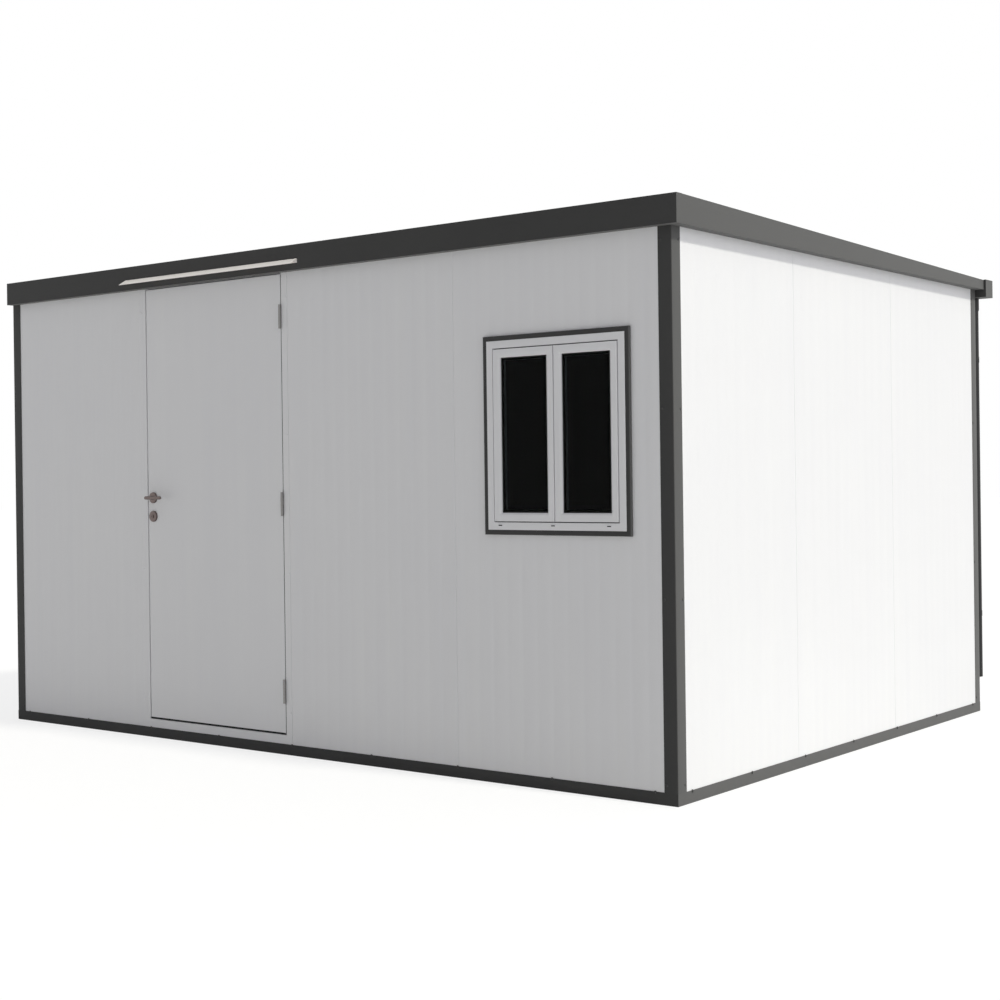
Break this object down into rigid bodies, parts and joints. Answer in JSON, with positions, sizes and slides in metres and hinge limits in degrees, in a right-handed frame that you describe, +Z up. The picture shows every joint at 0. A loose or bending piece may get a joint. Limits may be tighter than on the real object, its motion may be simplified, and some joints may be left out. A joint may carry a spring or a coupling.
{
  "type": "backyard office",
  "caption": "Flat-roofed backyard office of white insulated steel panels with dark trims, a hinged door with a lever lock, a two-sash window, a gutter and a downpipe.",
  "frame": {"origin": "centre of the plan over the wall faces, at ground level", "axes": "+Z up, -Y out of the front wall with the door and the window, +X to the right seen from the front"},
  "size_m": [4.073, 3.1025, 2.261],
  "materials": {
    "white_panel": "satin",
    "dark_trim": "satin",
    "white_frame": "satin",
    "dark_pipe": "satin",
    "bare_aluminium": "satin",
    "bright_steel": "brushed",
    "window_glass": "gloss",
    "timber": "sawn"
  },
  "bodies": {
    "building": {"base_rail_front": "dark_trim", "base_rail_back": "dark_trim", "base_rail_left": "dark_trim", "base_rail_right": "dark_trim", "floor_battens": "timber", "floor_deck": "timber", "front_panel_left": "white_panel", "front_panel_middle": "white_panel", "front_panel_window": "white_panel", "left_panel_front": "white_panel", "left_panel_middle": "white_panel", "left_panel_back": "white_panel", "right_panel_front": "white_panel", "right_panel_middle": "white_panel", "right_panel_back": "white_panel", "back_panel_1": "white_panel", "back_panel_2": "white_panel", "back_panel_3": "white_panel", "back_panel_4": "white_panel", "door_jamb_latch": "white_panel", "door_jamb_hinge": "white_panel", "door_head": "white_panel", "door_sill": "white_panel", "corner_trim_front_left": "dark_trim", "corner_trim_front_right": "dark_trim", "corner_trim_back_left": "dark_trim", "corner_trim_back_right": "dark_trim", "roof_panel_1": "white_panel", "roof_panel_2": "white_panel", "roof_panel_3": "white_panel", "roof_panel_4": "white_panel", "fascia_front": "dark_trim", "fascia_left": "dark_trim", "fascia_right": "dark_trim", "gutter": "dark_trim", "downpipe": "dark_pipe", "rain_deflector": "bare_aluminium", "window_trim": "dark_trim", "window_frame": "white_frame", "window_sashes": "white_frame", "window_glass": "window_glass", "hinge_frame_leaves": "bright_steel"},
    "door": {"door_leaf": "white_panel", "hinge_door_leaves": "bright_steel", "door_lock": "bright_steel"},
    "lever": {"lever_handle": "bright_steel"}
  },
  "joints": [
    {"name": "door_swing", "type": "hinge", "parent": "building", "child": "door", "pos_m": [-0.038, -1.4715, 1], "axis": [0, 0, 1], "range_deg": [0, 165]},
    {"name": "lever_turn", "type": "hinge", "parent": "door", "child": "lever", "pos_m": [-0.913, -1.445, 1.149], "axis": [0, 1, 0], "range_deg": [0, 45], "stiffness_Nm_per_rad": 1.5, "springref_deg": -28.65}
  ]
}
